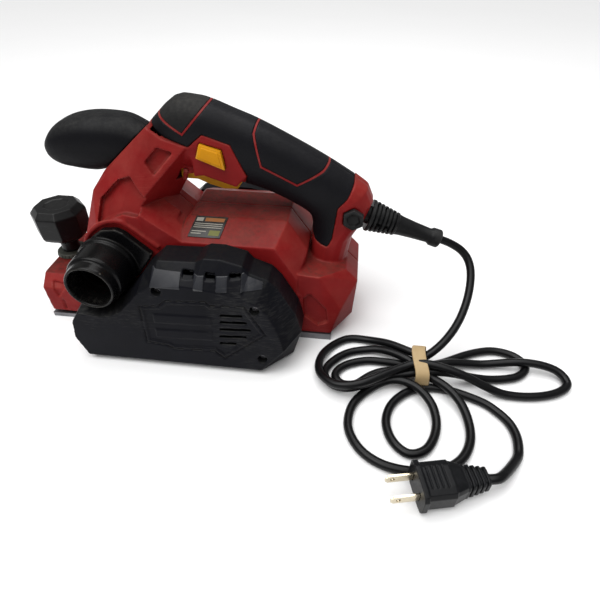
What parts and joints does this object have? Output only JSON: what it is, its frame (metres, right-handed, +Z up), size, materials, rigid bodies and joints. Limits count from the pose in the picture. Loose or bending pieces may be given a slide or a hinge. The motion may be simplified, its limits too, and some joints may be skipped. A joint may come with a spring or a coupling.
{
  "type": "electric hand planer",
  "caption": "Corded electric hand planer with a faceted clamshell body, side belt cover, side dust port, hooked front handle, depth knob and rubber handle.",
  "frame": {"origin": "middle of the length and width of the tool without its cord, on the plane of the sole", "axes": "+X towards the rear of the tool, where the cord leaves; +Y away from the belt-cover side; +Z up from the sole"},
  "size_m": [0.4375, 0.2542, 0.1772],
  "materials": {
    "red_plastic": "worn satin, dusty",
    "black_plastic": "satin with light scuffs",
    "knob_plastic": "satin, dusty",
    "grip_rubber": "fine grained",
    "cord_rubber": "glossy jacket",
    "yellow_plastic": "satin",
    "grey_plastic": "satin",
    "label_film": "semi-gloss film",
    "steel": "turned",
    "laminated_steel": "dull",
    "aluminium": "ground",
    "brass": "nickel-tinted",
    "carbon": "matt",
    "band_rubber": "matt"
  },
  "bodies": {
    "body": {"bearing_plate_left": "aluminium", "bearing_plate_right": "aluminium", "belt_cover": "black_plastic", "belt_cover_screw_1": "steel", "belt_cover_screw_2": "steel", "belt_cover_screw_3": "steel", "brush_front": "carbon", "brush_holder_front": "brass", "brush_holder_rear": "brass", "brush_rear": "carbon", "column_cap": "black_plastic", "cord_band": "band_rubber", "cord_hank": "cord_rubber", "cord_lead": "cord_rubber", "cord_sleeve": "grip_rubber", "cord_tail": "cord_rubber", "drive_belt": "grip_rubber", "drum_bearing_left": "steel", "drum_bearing_right": "steel", "dust_port": "black_plastic", "far_cover": "black_plastic", "far_cover_screw_1": "steel", "far_cover_screw_2": "steel", "front_handle_left": "grip_rubber", "front_handle_right": "grip_rubber", "grip_cap": "grip_rubber", "grip_left": "grip_rubber", "grip_pad": "grip_rubber", "grip_right": "grip_rubber", "housing_left": "red_plastic", "housing_right": "red_plastic", "label": "label_film", "motor_bearing_left": "steel", "motor_bearing_right": "steel", "plug": "black_plastic", "plug_blade_a": "brass", "plug_blade_b": "brass", "port_blank": "black_plastic", "rear_shoe": "aluminium", "screw_column": "steel", "screw_neck": "steel", "screw_rear": "steel", "stator": "laminated_steel", "switch": "black_plastic", "trigger_pin": "steel", "trigger_spring": "steel"},
    "drum": {"cutter_drum": "aluminium", "blade_a": "steel", "blade_b": "steel", "blade_clamp_a": "laminated_steel", "blade_clamp_b": "laminated_steel", "drum_pulley": "aluminium"},
    "rotor": {"armature": "laminated_steel", "fan": "grey_plastic", "motor_pulley": "aluminium"},
    "trigger": {"trigger": "yellow_plastic"},
    "lock_button": {"lock_button": "yellow_plastic"},
    "depth_knob": {"depth_knob": "knob_plastic", "depth_dial": "grey_plastic"},
    "front_shoe": {"front_shoe": "aluminium"}
  },
  "joints": [
    {"name": "drum_spin", "type": "hinge", "parent": "body", "child": "drum", "pos_m": [-0.05196, 0.00775, 0.024], "axis": [0, 1, 0], "continuous": true},
    {"name": "rotor_spin", "type": "hinge", "parent": "body", "child": "rotor", "pos_m": [0.01204, 0.00775, 0.056], "axis": [0, 1, 0], "continuous": true},
    {"name": "trigger_pull", "type": "hinge", "parent": "body", "child": "trigger", "pos_m": [-0.02446, 0.00775, 0.1265], "axis": [0, -1, 0], "range_deg": [0, 6], "stiffness_Nm_per_rad": 1.5, "springref_deg": -5.73, "deforming": ["trigger_spring"]},
    {"name": "lock_press", "type": "slide", "parent": "body", "child": "lock_button", "axis": [0, 1, 0], "range_m": [0, 0.0025], "stiffness_N_per_m": 400, "springref_m": -0.001},
    {"name": "knob_turn", "type": "hinge", "parent": "body", "child": "depth_knob", "pos_m": [-0.14646, 0.00775, 0.06], "axis": [0, 0, -1], "range_deg": [0, 360]},
    {"name": "shoe_lift", "type": "slide", "parent": "body", "child": "front_shoe", "axis": [0, 0, 1], "range_m": [0, 0.002]}
  ],
  "couplings": [
    {"joint": "rotor_spin", "follows": "drum_spin", "ratio": 1.4286},
    {"joint": "knob_turn", "follows": "shoe_lift", "rad_per_m": 3141.6}
  ]
}
